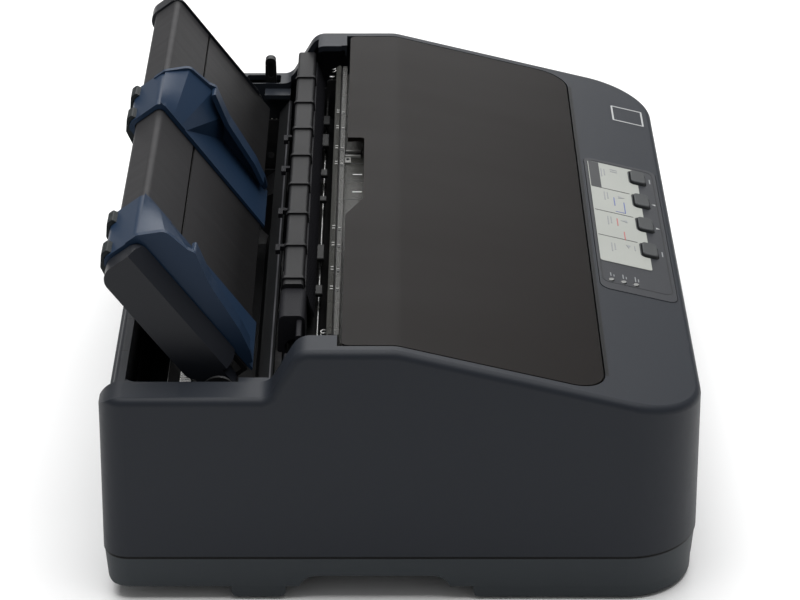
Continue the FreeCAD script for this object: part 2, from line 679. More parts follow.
def idler_pulley():
    wheel = belt_wheel(-MOTOR_X)
    return wheel.cut(rod_y(-MOTOR_X, BELT_Y0 - 5, BELT_Y1 + 5, BELT_Z, 2.0 + RUN_FIT))


def idler_bracket():
    """Pin for the far belt wheel, on a block screwed to the rail."""
    plate = box(-MOTOR_X - 9, -MOTOR_X + 9, RAIL_Y + 1.6, RAIL_Y + 4.6, BELT_Z - 10, BELT_Z + 10)
    return plate.fuse(rod_y(-MOTOR_X, RAIL_Y + 4.6, BELT_Y1 + 3, BELT_Z, 2.0))


def timing_belt():
    """Flat toothed belt round the two wheels."""
    outer = PULLEY_R + 1.9
    inner = PULLEY_R + 0.5
    loop = prism_y(rectangle(MOTOR_X - outer, -MOTOR_X + outer, BELT_Z - outer, BELT_Z + outer),
                   outer - 0.01, BELT_Y0, BELT_Y1)
    hole = prism_y(rectangle(MOTOR_X - inner, -MOTOR_X + inner, BELT_Z - inner, BELT_Z + inner),
                   inner - 0.01, BELT_Y0 - 1, BELT_Y1 + 1)
    return loop.cut(hole)


# The carriage waits at its left home place
HOME_X = -98.0


def carriage():
    """Moulded carriage: bearing on the shaft, fork on the rail and a clamp on the belt."""
    x0 = HOME_X - 20
    x1 = HOME_X + 20
    side = prism_x([(-12, 55), (14, 52), (14, 70), (-2, 74), (-12, 70)], [2, 2, 2, 4, 3], x0, x1)
    arm = box(HOME_X - 8, HOME_X + 8, RAIL_Y + 3, -10, RAIL_TOP + 0.4, RAIL_TOP + 6)
    under = box(HOME_X - 8, HOME_X + 8, RAIL_Y + 3, RAIL_Y + 12.5, RAIL_TOP - 5, RAIL_TOP - 1.9)
    link = box(HOME_X - 8, HOME_X + 8, RAIL_Y + 9.4, RAIL_Y + 14, RAIL_TOP - 5, RAIL_TOP + 6)
    clamp = box(HOME_X - 9, HOME_X + 9, BELT_Y0 - 2, BELT_Y1 + 2, BELT_Z + 8.6, RAIL_TOP - 2)
    body = side.fuse(arm).fuse(under).fuse(link).fuse(clamp)
    cradle = box(HOME_X - 18.2, HOME_X - 15.9, -2, 12, 66, 84).fuse(
        box(HOME_X + 15.9, HOME_X + 18.2, -2, 12, 66, 84))
    body = body.fuse(cradle)
    return body.cut(rod_x(x0 - 1, x1 + 1, CARRIAGE_Y, CARRIAGE_Z,
                          CARRIAGE_SHAFT_R + RUN_FIT)).removeSplitter()


HEAD_Z = PLATEN_Z
HEAD_NOSE_Y = PLATEN_Y - PLATEN_R - 1.7


def print_head():
    """Wire-dot print head: round magnet body, tapered guide and a narrow nose."""
    body = rod_y(HOME_X, -4, 9, HEAD_Z, 12.0)
    wide = [V(HOME_X - 7, 9, HEAD_Z - 9), V(HOME_X + 7, 9, HEAD_Z - 9), V(HOME_X + 7, 9, HEAD_Z + 9),
            V(HOME_X - 7, 9, HEAD_Z + 9)]
    slim = [V(HOME_X - 2.5, 25, HEAD_Z - 4.5), V(HOME_X + 2.5, 25, HEAD_Z - 4.5),
            V(HOME_X + 2.5, 25, HEAD_Z + 4.5), V(HOME_X - 2.5, 25, HEAD_Z + 4.5)]
    guide = Part.makeLoft([outline(wide, [0] * 4), outline(slim, [0] * 4)], True, True)
    nose = box(HOME_X - 2, HOME_X + 2, 24.5, HEAD_NOSE_Y, HEAD_Z - 3.5, HEAD_Z + 3.5)
    return body.fuse(guide).fuse(nose).removeSplitter()


def head_fins():
    """Aluminium cooling fins pushed over the head's body."""
    fins = []
    for i in range(6):
        y = -3.6 + i * 2.1
        fins.append(rod_y(HOME_X, y, y + 1.0, HEAD_Z, 15.5))
    fins.append(box(HOME_X - 3, HOME_X + 3, -3.6, 7.9, HEAD_Z + 12.2, HEAD_Z + 15))
    stack = union(fins).cut(rod_y(HOME_X, -6, 12, HEAD_Z, 12.02))
    return stack.cut(box(HOME_X - 16, HOME_X + 16, -6, 12, HEAD_Z - 20, HEAD_Z - 11)).removeSplitter()


def ribbon_mask():
    """Thin steel mask between the ribbon and the paper, on legs from the carriage."""
    y0 = PLATEN_Y - PLATEN_R - 0.75
    mask = prism_y(rectangle(HOME_X - 17, HOME_X + 17, HEAD_Z - 11, HEAD_Z + 11), 3, y0, y0 + 0.25)
    mask = mask.cut(box(HOME_X - 3, HOME_X + 3, y0 - 1, y0 + 1, HEAD_Z - 3, HEAD_Z + 3))
    foot = box(HOME_X - 17, HOME_X + 17, 14.05, y0 + 0.25, HEAD_Z - 18.5, HEAD_Z - 17.5)
    wall = box(HOME_X - 17, HOME_X + 17, y0, y0 + 0.25, HEAD_Z - 18.5, HEAD_Z - 10)
    return mask.fuse(foot).fuse(wall).removeSplitter()


def platen_roller():
    return tube_x(-PLATEN_X, PLATEN_X, PLATEN_Y, PLATEN_Z, PLATEN_R, PLATEN_SHAFT_R)


def platen_shaft():
    return rod_x(-FRAME_X - 5, KNOB_X + KNOB_LENGTH - 4, PLATEN_Y, PLATEN_Z, PLATEN_SHAFT_R)


PLATEN_FIRST = math.radians(10)


def platen_gear():
    return gear(GEAR_X0, GEAR_X1, PLATEN_Y, PLATEN_Z, PLATEN_TEETH, PLATEN_FIRST, PLATEN_SHAFT_R)


def idler_first():
    return mesh_angle(PLATEN_Y, PLATEN_Z, IDLER_Y, IDLER_Z, IDLER_TEETH, PLATEN_FIRST, PLATEN_TEETH)


def feed_idler_gear():
    return gear(GEAR_X0, GEAR_X1, IDLER_Y, IDLER_Z, IDLER_TEETH, idler_first(), 2.0 + RUN_FIT)


def tractor_gear():
    first = mesh_angle(IDLER_Y, IDLER_Z, TRACTOR_Y, TRACTOR_Z, TRACTOR_TEETH, idler_first(), IDLER_TEETH)
    return gear(GEAR_X0, GEAR_X1, TRACTOR_Y, TRACTOR_Z, TRACTOR_TEETH, first, TRACTOR_END_R)


def feed_pinion():
    first = mesh_angle(IDLER_Y, IDLER_Z, PINION_Y, PINION_Z, PINION_TEETH, idler_first(), IDLER_TEETH)
    teeth = gear(GEAR_X0, GEAR_X1, PINION_Y, PINION_Z, PINION_TEETH, first, 1.0)
    return teeth.fuse(rod_x(FRAME_X - 1.2, GEAR_X1 + 1, PINION_Y, PINION_Z, 1.6)).removeSplitter()


def feed_motor():
    """Stepping motor inside the right plate that turns the rollers."""
    can = rod_x(FRAME_X - 30, FRAME_X - 3.1, PINION_Y, PINION_Z, 15.0)
    flange = prism_x(rectangle(PINION_Y - 15, PINION_Y + 15, PINION_Z - 15, PINION_Z + 15), 5,
                     FRAME_X - 3.1, FRAME_X - 1.6)
    return can.fuse(flange).removeSplitter()


def platen_knob():
    """Paper feed knob, fluted round its rim."""
    x1 = KNOB_X + KNOB_LENGTH
    knob = rod_x(KNOB_X, x1, PLATEN_Y, PLATEN_Z, KNOB_R)
    knob = knob.makeFillet(2.0, [e for e in knob.Edges if e.BoundBox.XMin > x1 - 0.5])
    flutes = []
    for i in range(18):
        angle = math.radians(20 * i)
        reach = KNOB_R + 0.7
        flutes.append(rod_x(KNOB_X + 2.5, x1 + 1, PLATEN_Y + reach * math.cos(angle),
                            PLATEN_Z + reach * math.sin(angle), 1.5))
    knob = knob.cut(Part.makeCompound(flutes))
    hub = rod_x(HALF_W - 9, KNOB_X, PLATEN_Y, PLATEN_Z, 6.2)
    return knob.fuse(hub).cut(rod_x(HALF_W - 10, x1 - 4, PLATEN_Y, PLATEN_Z,
                                    PLATEN_SHAFT_R)).removeSplitter()


def tractor_shaft():
    """Square drive shaft of the tractors, turned round at its ends."""
    bar = prism_x(rectangle(TRACTOR_Y - 3, TRACTOR_Y + 3, TRACTOR_Z - 3, TRACTOR_Z + 3), 0.5,
                  -FRAME_X + 1, FRAME_X - 1)
    left = rod_x(-FRAME_X - 4, -FRAME_X + 1, TRACTOR_Y, TRACTOR_Z, TRACTOR_END_R)
    right = rod_x(FRAME_X - 1, GEAR_X1 + 1, TRACTOR_Y, TRACTOR_Z, TRACTOR_END_R)
    return bar.fuse(left).fuse(right).removeSplitter()


def guide_prism(points, radii, x0, x1):
    """Solid carried along X from an outline in the guide's own (u, v) measures."""
    return prism_x([guide_point(u, v) for u, v in points], radii, x0, x1)


def paper_guide_lower():
    """Lower panel of the paper guide: a face with ribs behind, open at the back."""
    x = GUIDE_X - CAP_W
    face = guide_prism([(-1, 0), (GUIDE_SPLIT, 0), (GUIDE_SPLIT, 2.2), (-1, 2.2)], [1.5, 0.4, 0, 0], -x, x)
    ribs = [face]
    for i in range(9):
        rib_x = -x + 8 + i * (2 * x - 16) / 8
        ribs.append(guide_prism([(4, 2), (GUIDE_SPLIT - 1, 2), (GUIDE_SPLIT - 1, 16), (30, 16), (4, 6)], 0,
                                rib_x - 0.8, rib_x + 0.8))
    ribs.append(guide_prism([(-1, 0), (1, 0), (1, 8), (-1, 8)], [0.8, 0, 0, 0], -x, x))
    return union(ribs)


def paper_guide_upper():
    """Upper panel of the paper guide: a closed channel with the ridge along its top."""
    x = GUIDE_X - CAP_W
    low = GUIDE_SPLIT + 0.6
    channel = guide_prism([(low, 0), (GUIDE_LENGTH, 0), (GUIDE_LENGTH, GUIDE_DEPTH),
                           (low + 8, GUIDE_DEPTH)],
                          [0.4, 3, 3, 2], -x, x)
    inside = guide_prism([(low - 2, 2.2), (GUIDE_LENGTH - 2.2, 2.2),
                          (GUIDE_LENGTH - 2.2, GUIDE_DEPTH - 2.2),
                          (low - 2, GUIDE_DEPTH - 2.2)], 0, -x + 2, x - 2)
    return channel.cut(inside)


def guide_end_cap(side):
    """End cap that closes the guide, with the foot that it pivots on."""
    x0 = side * GUIDE_X
    x1 = side * (GUIDE_X - CAP_W)
    front = -1.6
    cap = guide_prism([(8, front), (GUIDE_LENGTH + 1.2, front), (GUIDE_LENGTH + 1.2, CAP_BACK),
                       (14, CAP_BACK)],
                      [3, 6, 7, 5], min(x0, x1), max(x0, x1))
    corner = 3.6
    wedge = guide_prism([(-5, front - 0.1), (GUIDE_LENGTH + 4, front - 0.1), (GUIDE_LENGTH + 4, corner),
                         (-5, corner)], 0, min(x0, x1) - 1, max(x0, x1) + 1)
    # Slanted outer front edge
    y_b, z_b = guide_point(-10, front - 0.1)
    y_c, z_c = guide_point(-10, corner)
    cut_edge = outline([V(x0 - side * CAP_W, y_b, z_b), V(x0 + side * 0.1, y_b, z_b),
                        V(x0 + side * 0.1, y_c, z_c)],
                       [0, 0, 0])
    along = V(0, math.sin(LEAN), math.cos(LEAN)) * (GUIDE_LENGTH + 20)
    cap = cap.cut(Part.Face(cut_edge).extrude(along).common(wedge))
    foot = guide_prism([(-4, GUIDE_PIVOT_V - 6.5), (16, GUIDE_PIVOT_V - 6.5), (16, GUIDE_PIVOT_V + 6.5),
                        (-4, GUIDE_PIVOT_V + 6.5)], [6, 0, 0, 6], min(x0, x1), max(x0, x1))
    pin_end = side * (FRAME_X + FRAME_T + 0.8)
    pin = rod_x(min(x0 - side * 3, pin_end), max(x0 - side * 3, pin_end), GUIDE_PIVOT_Y, GUIDE_PIVOT_Z,
                GUIDE_PIN_R)
    return cap.fuse(foot).fuse(pin).removeSplitter()


LEFT_FIN_X = -140.3
LEFT_WIDTH = 43.0
RIGHT_FIN_X = 42.0
RIGHT_WIDTH = 39.0
EDGE_GAP = 0.35


def guide_section(points, x):
    return outline([V(x, *guide_point(u, v)) for u, v in points], [0] * len(points))


def edge_guide(side, fin_x, width):
    """Sliding edge guide: a tall fin, a saddle over the ridge and a wedge that ties them.

    side is the way from the fin towards the sheet: 1 for the left guide, -1 for the right one.
    """
    t = 2.6
    g = EDGE_GAP
    top = GUIDE_LENGTH
    front = [(5.5, -6.2), (16.8, -9.1), (43.1, -12.4), (60.0, -17.2)]
    fin_points = [(1, -g), (0, -3.5)] + front + [(63.5, -15.4), (76.5, -13.2), (top + 3, -1.5),
                                                 (top + 3, 5),
                                                 (top + g, 5), (top + g, -g)]
    far_x = fin_x + side * t
    fin = guide_prism(fin_points, [0, 1, 4, 14, 20, 2, 2, 5, 3, 0, 0, 0], min(fin_x, far_x),
                      max(fin_x, far_x))
    flange_points = front + [(60.6, -14.8), (43.8, -10.2), (17.4, -7.0), (6.4, -4.4)]
    flange_x = fin_x + side * 11
    flange = guide_prism(flange_points, [0.8, 14, 20, 0.8, 0.8, 20, 14, 0.8], min(fin_x, flange_x),
                         max(fin_x, flange_x))
    x0 = min(fin_x, fin_x + side * width)
    x1 = max(fin_x, fin_x + side * width)
    out = g + 2.2
    saddle = guide_prism([(GUIDE_SPLIT + 10, -out), (top + out, -out), (top + out, GUIDE_DEPTH + out),
                          (top - 13, GUIDE_DEPTH + out), (top - 13, GUIDE_DEPTH + g),
                          (top + g, GUIDE_DEPTH + g),
                          (top + g, -g), (GUIDE_SPLIT + 10, -g)], [1, 4, 4, 1, 0, 3, 3, 0], x0, x1)
    tall = [(32, -g), (44, -11.2), (59, -15.0), (75.5, -12.4), (top + 2.4, -1.8), (top + g, -g)]
    low = [(GUIDE_SPLIT + 9, -g), (GUIDE_SPLIT + 10, -1.8), (66, -2.2), (72, -2.5), (top + 2.4, -2.0),
           (top + g, -g)]
    wedge = Part.makeLoft([guide_section(tall, fin_x + side * 1.0),
                           guide_section(low, fin_x + side * width)],
                          True, True)
    blade = guide_prism([(-3, -g), (-2.5, -g - 1.2), (GUIDE_SPLIT, -g - 1.8), (GUIDE_SPLIT + 10, -g - 1.8),
                         (GUIDE_SPLIT + 10, -g)], [0, 0.6, 0, 0, 0], x0, x1)
    return union([fin, saddle, wedge, flange, blade])


def edge_guide_clips(side, fin_x, width):
    """Dark catches at the two ends of the saddle, each bent round its rear corner."""
    back = GUIDE_DEPTH + EDGE_GAP + 2.2
    top = GUIDE_LENGTH + EDGE_GAP + 2.2
    outside = [(top - 13, back), (top - 13, back + 3.6), (top - 11.5, back + 4.6), (top - 3, back + 2.6),
               (top + 2.2, back - 2.0), (top + 2.2, back - 5), (top, back - 6), (top, back - 2),
               (top - 2, back)]
    clips = []
    for offset in (1.5, width - 11.5):
        xa = fin_x + side * offset
        xb = fin_x + side * (offset + 10)
        clip = guide_prism(outside, [0, 1, 1.5, 1.5, 1.5, 1, 0, 0, 0], min(xa, xb), max(xa, xb))
        clips.append(clip.cut(guide_prism(rectangle(GUIDE_SPLIT, top + 0.01, -4, back + 0.01), 3.9,
                                          -HALF_W, HALF_W)))
    return Part.makeCompound(clips)


STEP_XS = [135.0, 103.0, 70.7, 38.6, 5.5, -26.9, -60.8, -94.0]
HOOK_XS = [82.0, 45.0, -3.0, -42.0]


def tension_bar():
    """Ribbed bar over the paper's way out, with a raised band at every step."""
    y0 = TENSION_Y0 + 0.8
    y1 = TENSION_Y1
    points = [(y0, 108), (y0 + 0.6, TENSION_TOP - 0.8), (y1, TENSION_TOP - 0.8), (y1 + 0.8, 108)]
    bar = prism_x(points, [1, 1.6, 1.6, 1], TENSION_NEAR_X, TENSION_FAR_X)
    trough = prism_x([(y0 + 2.2, 100), (y0 + 2.2, TENSION_TOP - 3.2), (y1 - 1.8, TENSION_TOP - 3.2),
                      (y1 - 1.8, 100)], 0, TENSION_NEAR_X + 2, TENSION_FAR_X - 2)
    bands = []
    wide = [(y0 - 0.6, 109), (y0, TENSION_TOP), (y1 + 0.6, TENSION_TOP), (y1 + 1.4, 109)]
    for x in STEP_XS:
        bands.append(prism_x(wide, [1, 1.8, 1.8, 1], x - 1.1,
                             x + 1.1).cut(box(x - 2, x + 2, y0 + 3, y1 - 3, 100, 121)))
    return bar.cut(trough).fuse(union(bands)).removeSplitter()


def tension_arms():
    """Arms at the two ends of the bar: they rest on the side plates and carry the rollers' axle."""
    y0 = TENSION_Y0
    near = prism_x([(y0, 102), (y0, 121), (56.5, 121), (57.5, 102)], [1, 3, 3, 1], -127,
                   TENSION_NEAR_X - 0.2)
    near = near.cut(rod_x(-130, TENSION_NEAR_X, ROLLER_Y, ROLLER_Z, ROLLER_R + 0.7))
    near = near.fuse(prism_x([(45.8, 102), (45.8, 119), (48.4, 119), (48.4, 102)], 0.8, -142, -125))
    near = near.fuse(prism_x(rectangle(45.8, 54, 101, 109.2), 1, -154, -141))
    near = near.fuse(box(-158.8, -153, 46, 54, PLATE_TOP + 0.3, 109.2))
    far = prism_x(rectangle(45.9, 54, 101, 107.8), 1, 141, 154)
    sides = [near.removeSplitter(), far]
    return Part.makeCompound([side.cut(rod_x(-144, 144, ROLLER_Y, ROLLER_Z,
                                             AXLE_R + RUN_FIT)) for side in sides])


def tension_hooks():
    """Small L-shaped hooks behind the bar that hold it to the rear plate."""
    hooks = []
    for x in HOOK_XS:
        reach = box(x - 1.2, x + 1.2, TENSION_Y1 + 1.0, 61, 111, 113.4)
        finger = box(x - 5, x + 1.2, 58.8, 61, 111, 113.4)
        hooks.append(reach.fuse(finger).removeSplitter())
    return Part.makeCompound(hooks)


ROLLER_Y = 50.0
ROLLER_Z = 104.5
ROLLER_R = 3.4
AXLE_R = 1.6


def tension_rollers():
    """Soft rollers on one axle under the bar."""
    axle = rod_x(-143, 143, ROLLER_Y, ROLLER_Z, AXLE_R)
    rollers = []
    for i in range(8):
        x = -112 + i * 32
        rollers.append(rod_x(x - 8, x + 8, ROLLER_Y, ROLLER_Z, ROLLER_R))
    return axle.fuse(Part.makeCompound(rollers)).removeSplitter()


def tear_bar():
    """Clear tear-off bar: two rails joined by a web that runs forward under the cover."""
    web = box(-149, 149, 13, 34.4, 117.2, 118.6)
    front_rail = box(-149, 149, 28.6, 30.9, 118, 123.4)
    rear_rail = prism_x([(31.8, 118), (31.8, 123.4), (32.8, 124), (34.4, 122.8), (34.4, 118)], 0, -149, 149)
    ends = []
    for side in (-1, 1):
        a = side * 148
        b = side * (FRAME_X + 1)
        ends.append(box(min(a, b), max(a, b), 31, 34.4, 112.0, 119))
    return union([web, front_rail, rear_rail] + ends)


def paper_shield():
    """Dark sheet behind the roller that leads the paper down from the guide."""
    lead = [(59, 99.5), (60.5, 100.5), (66, 93), (66.5, 84.5), (62, 72), (60.8, 72.6), (64.9, 84.6),
            (64.4, 92.4)]
    return prism_x(lead, 0, -FRAME_X, FRAME_X)


def rear_paper_tray():
    """Bent plate under the tractors that the continuous paper runs over."""
    return prism_x([(62, 70.5), (72, 34), (117, 31), (117, 32.4), (73, 35.4), (63.3, 70.9)], 0, -FRAME_X,
                   110)


TRACTOR_XS = [-112.0, 88.0]
TRACTOR_W = 22.0


def tractor_side(x, outward):
    """Moulded tractor body; outward is -1 or 1, the way to its outer side."""
    x0 = x - TRACTOR_W / 2
    x1 = x + TRACTOR_W / 2
    body = prism_x([(84, 48), (114, 52), (115, 64), (110, 68.5), (92, 68.5), (82, 62)], [3, 3, 3, 3, 3, 3],
                   x0, x1)
    pocket = prism_x([(89, 40), (120, 40), (120, 72), (89, 72)], 2, x - 4.4, x + 4.4)
    body = body.cut(pocket)
    lug = rod_x(x0, x1, SUPPORT_Y, SUPPORT_Z, 5.5).fuse(box(x0, x1, SUPPORT_Y - 3, SUPPORT_Y + 4,
                                                            SUPPORT_Z, 52))
    body = body.fuse(lug)
    body = body.cut(rod_x(x0 - 1, x1 + 1, SUPPORT_Y, SUPPORT_Z, SHAFT_R + RUN_FIT))
    body = body.cut(rod_x(x0 - 1, x1 + 1, TRACTOR_Y, TRACTOR_Z, 5.2))
    hinge_x = x + outward * (TRACTOR_W / 2 - 1.5)
    body = body.cut(rod_y(hinge_x, 93.9, 108.1, 69.6, 2.3))
    return body.removeSplitter()


def tractor_sprocket(x):
    """Pin wheel on the square shaft."""
    wheel = rod_x(x - 3.6, x + 3.6, TRACTOR_Y, TRACTOR_Z, 8.2)
    hub = rod_x(x - TRACTOR_W / 2 - 0.6, x + TRACTOR_W / 2 + 0.6, TRACTOR_Y, TRACTOR_Z, 5.0)
    pins = []
    for i in range(6):
        angle = math.radians(60 * i + 30)
        direction = V(0, math.cos(angle), math.sin(angle))
        base = V(x, TRACTOR_Y, TRACTOR_Z) + direction * 7.5
        pins.append(Part.makeCone(1.7, 1.0, 3.2, base, direction))
    body = union([wheel, hub] + pins)
    hole = 6.1
    return body.cut(box(x - 20, x + 20, TRACTOR_Y - hole / 2, TRACTOR_Y + hole / 2,
                        TRACTOR_Z - hole / 2, TRACTOR_Z + hole / 2))


def tractor_door(x, outward):
    """Lid that holds the paper's edge down on the pins."""
    hinge_x = x + outward * (TRACTOR_W / 2 - 1.5)
    free_x = x - outward * (TRACTOR_W / 2 - 4)
    lid = prism_z(rectangle(min(hinge_x, free_x), max(hinge_x, free_x), 90, 112), 2, 69.8, 71.6)
    lid = lid.cut(box(x - 2.4, x + 2.4, 94, 113, 69, 72.5))
    knuckle = rod_y(hinge_x, 94.2, 107.8, 69.6, 2.0)
    return lid.fuse(knuckle).removeSplitter()


def tractor_lock(x, outward):
    """Lock lever beside the tractor, on the support shaft."""
    xa = x + outward * (TRACTOR_W / 2 + 0.4)
    xb = x + outward * (TRACTOR_W / 2 + 3.4)
    x0 = min(xa, xb)
    x1 = max(xa, xb)
    lever = rod_x(x0, x1, SUPPORT_Y, SUPPORT_Z, 5.5)
    lever = lever.fuse(prism_x([(84.5, 42), (91.5, 42), (84, 66), (78, 66)], [0, 0, 2, 2], x0, x1))
    return lever.cut(rod_x(x0 - 1, x1 + 1, SUPPORT_Y, SUPPORT_Z, SHAFT_R + RUN_FIT)).removeSplitter()


def printer_cover():
    """Smoked cover, flush with the case, with a notch in its rear edge and hinge pins at its ends."""
    sheet = top_skin(0, COVER_T, -HALF_W, HALF_W, -HALF_D, HALF_D).common(cover_plan(0, SEAM_Z, TOP_Z + 20))
    notch_y = COVER_REAR_Y - NOTCH_DEPTH
    notch = prism_z([(NOTCH_X1, COVER_REAR_Y + 2), (NOTCH_X1, notch_y), (NOTCH_X0 + NOTCH_SLANT, notch_y),
                     (NOTCH_X0 - 4, COVER_REAR_Y + 2)], [0, 2, 3, 0], 110, TOP_Z + 5)
    sheet = sheet.cut(notch)
    rib_z = COVER_T - 0.3
    for x in (-COVER_X + 14.5, COVER_X - 16.0):
        rib = top_skin(rib_z, COVER_T + 3, x, x + 1.5, COVER_FRONT_Y + 16, COVER_REAR_Y - 8)
        sheet = sheet.fuse(rib)
    for side in (-1, 1):
        xa = side * (COVER_X - 5.5)
        xb = side * COVER_X
        lug = prism_x([(HINGE_Y - 1.6, HINGE_Z - 1.9), (COVER_REAR_Y, HINGE_Z - 1.9),
                       (COVER_REAR_Y, TOP_Z - 1),
                       (HINGE_Y - 1.6, TOP_Z - 1)], [1, 1, 0, 0], min(xa, xb), max(xa, xb))
        pin_a = side * (COVER_X - 2)
        pin_b = side * (COVER_X + 3.0)
        sheet = sheet.fuse(lug).fuse(rod_x(min(pin_a, pin_b), max(pin_a, pin_b), HINGE_Y, HINGE_Z,
                                           HINGE_PIN_R))
    edge = prism_x([(COVER_REAR_Y - 2.2, TOP_Z + 3), (COVER_REAR_Y + 2, TOP_Z + 3),
                    (COVER_REAR_Y + 2, TOP_Z - 1.2)],
                   0, -HALF_W, HALF_W)
    return sheet.cut(edge).removeSplitter()


CARTRIDGE_X = 149.0


def ribbon_cartridge():
    """Wide ribbon case across the front of the bay, with two arms that reach to the roller."""
    body = prism_z([(-CARTRIDGE_X, -62), (CARTRIDGE_X, -62), (CARTRIDGE_X, -14), (96, -14), (84, -22),
                    (-84, -22),
                    (-96, -14), (-CARTRIDGE_X, -14)], [6, 6, 2, 4, 4, 4, 4, 2], 76, 94)
    arms = []
    for side in (-1, 1):
        xa = side * (CARTRIDGE_X - 9)
        xb = side * CARTRIDGE_X
        arms.append(prism_x([(-16, 77), (31.5, 79), (31.5, 93), (-16, 93)], [0, 3, 3, 0], min(xa, xb),
                            max(xa, xb)))
    lid = prism_z([(-120, -58), (120, -58), (120, -27), (-120, -27)], 5, 94, 95.2)
    body = union([body, lid] + arms)
    hollow = prism_z(rectangle(-CARTRIDGE_X + 2, CARTRIDGE_X - 2, -60, -24), 3, 78, 92)
    body = body.cut(hollow)
    return body.cut(rod_z(RIBBON_KNOB_X, RIBBON_KNOB_Y, 91, 97, 3.0 + RUN_FIT)).removeSplitter()


RIBBON_KNOB_X = 132.0
RIBBON_KNOB_Y = -42.0


def ribbon_knob():
    """Knob that takes up the slack of the ribbon."""
    knob = rod_z(RIBBON_KNOB_X, RIBBON_KNOB_Y, 95.6, 101, 8.5)
    knob = knob.makeFillet(1.0, [e for e in knob.Edges if e.BoundBox.ZMin > 100.5])
    grip = box(RIBBON_KNOB_X - 6.5, RIBBON_KNOB_X + 6.5, RIBBON_KNOB_Y - 1.2, RIBBON_KNOB_Y + 1.2, 100.5,
               105)
    stem = rod_z(RIBBON_KNOB_X, RIBBON_KNOB_Y, 80, 96, 3.0)
    return knob.fuse(grip).fuse(stem).removeSplitter()


def ribbon():
    """Inked ribbon between the cartridge's arms, in front of the roller."""
    y = HEAD_NOSE_Y + 0.35
    return box(-CARTRIDGE_X + 9.2, CARTRIDGE_X - 9.2, y, y + 0.2, PLATEN_Z - 6.5, PLATEN_Z + 6.5)


def paper_wire():
    """Thin bright wire just above the roller, which keeps the paper forward on its way out."""
    return rod_x(-FRAME_X - FRAME_T, FRAME_X + FRAME_T, WIRE_Y, WIRE_Z, WIRE_R)


def bay_floor():
    """Plastic floor of the ribbon bay, over the boards."""
    return prism_x([(-80, 72), (-66, 66), (-30, 66), (-30, 67.6), (-65.6, 67.6), (-79.6, 73.6)], 0,
                   -FRAME_X, FRAME_X)


def main_board():
    board = box(-82, 60, -122, -40, BOARD_Z, BOARD_Z + 1.6)
    for x, y in BOARD_POSTS:
        board = board.cut(rod_z(x, y, BOARD_Z - 1, BOARD_Z + 3, 1.5))
    return board


def board_components():
    """The larger parts on the main board: processor, memory, drivers and capacitors."""
    z = BOARD_Z + 1.6
    places = [(-58, -84, 28, 28, 3), (-22, -92, 24, 12, 2.5), (-22, -72, 24, 12, 2.5), (12, -70, 30, 6, 14),
              (12, -100, 30, 6, 14)]
    parts = [box(x - w / 2, x + w / 2, y - d / 2, y + d / 2, z, z + h) for x, y, w, d, h in places]
    for i in range(4):
        parts.append(rod_z(40, -62 - i * 13, z, z + 18, 5))
    return Part.makeCompound(parts)


def transformer():
    """Mains transformer on its frame, at the right of the boards."""
    core = prism_x(rectangle(-104, -52, 12.2, 50), 2, 88, 126)
    coil = prism_x(rectangle(-97, -59, 16, 46), 4, 80, 134)
    foot = box(84, 130, -110, -46, BASE_Z + WALL, 12.4)
    return union([core, coil, foot])


def power_board():
    """Supply board with its smoothing capacitors and a finned heat sink."""
    board = box(-148, -88, -120, -42, BOARD_Z, BOARD_Z + 1.6)
    for x, y in POWER_POSTS:
        board = board.cut(rod_z(x, y, BOARD_Z - 1, BOARD_Z + 3, 1.5))
    parts = [rod_z(-130, -100 + i * 20, BOARD_Z + 1.6, BOARD_Z + 27, 8.0) for i in range(3)]
    sink = box(-112, -96, -100, -62, BOARD_Z + 1.6, BOARD_Z + 4)
    fins = [box(-112 + i * 3.6, -110.4 + i * 3.6, -100, -62, BOARD_Z + 4, BOARD_Z + 24) for i in range(5)]
    return union([board, sink] + parts + fins)


def parallel_connector():
    """Ribbon-type parallel socket, with its two wire bails' lugs and a slot lined with contacts."""
    x0, x1, z0, z1 = PARALLEL_BOX
    block = prism_y([(x0 + 8, z0 + 1.5), (x1 - 8, z0 + 1.5), (x1 - 6, z1 - 1.5), (x0 + 6, z1 - 1.5)], 2,
                    120, HALF_D - 1.0)
    slot = prism_y([(x0 + 11, z0 + 4), (x1 - 11, z0 + 4), (x1 - 10, z1 - 4), (x0 + 10, z1 - 4)], 1, 128,
                   HALF_D)
    blade = box(x0 + 14, x1 - 14, 127, HALF_D - 2.2, (z0 + z1) / 2 - 1.2, (z0 + z1) / 2 + 1.2)
    lugs = []
    for x in (x0 + 3.2, x1 - 3.2):
        lugs.append(box(x - 2.4, x + 2.4, 122, HALF_D - 1.5, z0 + 2.5, z1 - 2.5))
    plate = box(x0 + 0.5, x1 - 0.5, 120, 124, z0 + 0.5, z1 - 0.5)
    return union([block.cut(slot), blade, plate] + lugs)


def serial_connector():
    x0, x1, z0, z1 = SERIAL_BOX
    x = (x0 + x1) / 2
    z = (z0 + z1) / 2
    plate = box(x0 + 0.5, x1 - 0.5, 130, 133, z0 + 0.5, z1 - 0.5)
    shell = prism_y([(x - 8.2, z - 4), (x + 8.2, z - 4), (x + 9.4, z + 4), (x - 9.4, z + 4)], 2, 122,
                    HALF_D - 0.6)
    inside = prism_y([(x - 7.6, z - 3.4), (x + 7.6, z - 3.4), (x + 8.8, z + 3.4), (x - 8.8, z + 3.4)], 1.6,
                     131, HALF_D)
    pins = []
    for row, count in ((1.4, 5), (-1.4, 4)):
        for i in range(count):
            pins.append(rod_y(x + (i - (count - 1) / 2) * 2.77, 130.5, HALF_D - 1.5, z + row, 0.5))
    posts = [rod_y(x + side * 12.5, 126, HALF_D - 0.8, z, 2.3) for side in (-1, 1)]
    return union([plate, shell.cut(inside)] + pins + posts)


